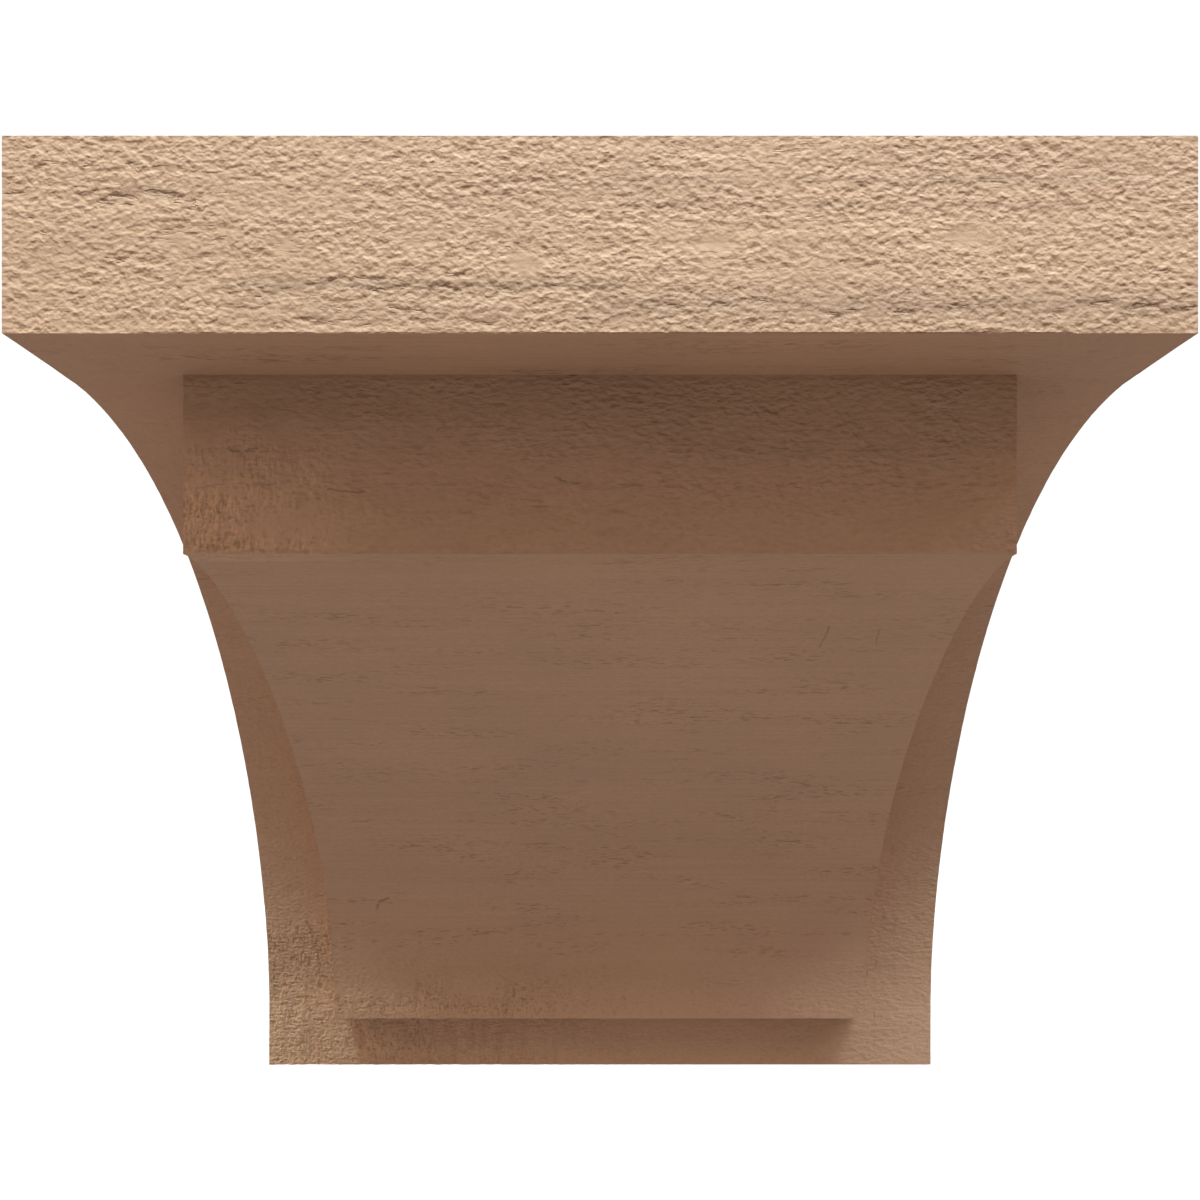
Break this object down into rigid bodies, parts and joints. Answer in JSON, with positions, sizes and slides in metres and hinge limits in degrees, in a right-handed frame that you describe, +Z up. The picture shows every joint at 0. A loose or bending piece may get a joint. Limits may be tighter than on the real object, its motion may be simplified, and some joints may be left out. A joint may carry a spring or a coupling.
{
  "type": "corbel",
  "caption": "Moulded wall bracket with a square cap slab, a coved body and a raised centre panel, with a rough-sawn wood texture and a tan primer.",
  "frame": {"origin": "centre of the flat back, where the corbel meets the wall", "axes": "+X to the right seen from the front, +Y into the wall, +Z up"},
  "size_m": [0.2286, 0.2032, 0.2286],
  "materials": {
    "primed_urethane": "matt tan primer over a moulded rough-sawn wood texture"
  },
  "bodies": {
    "root": {"corbel": "primed_urethane"}
  },
  "joints": []
}
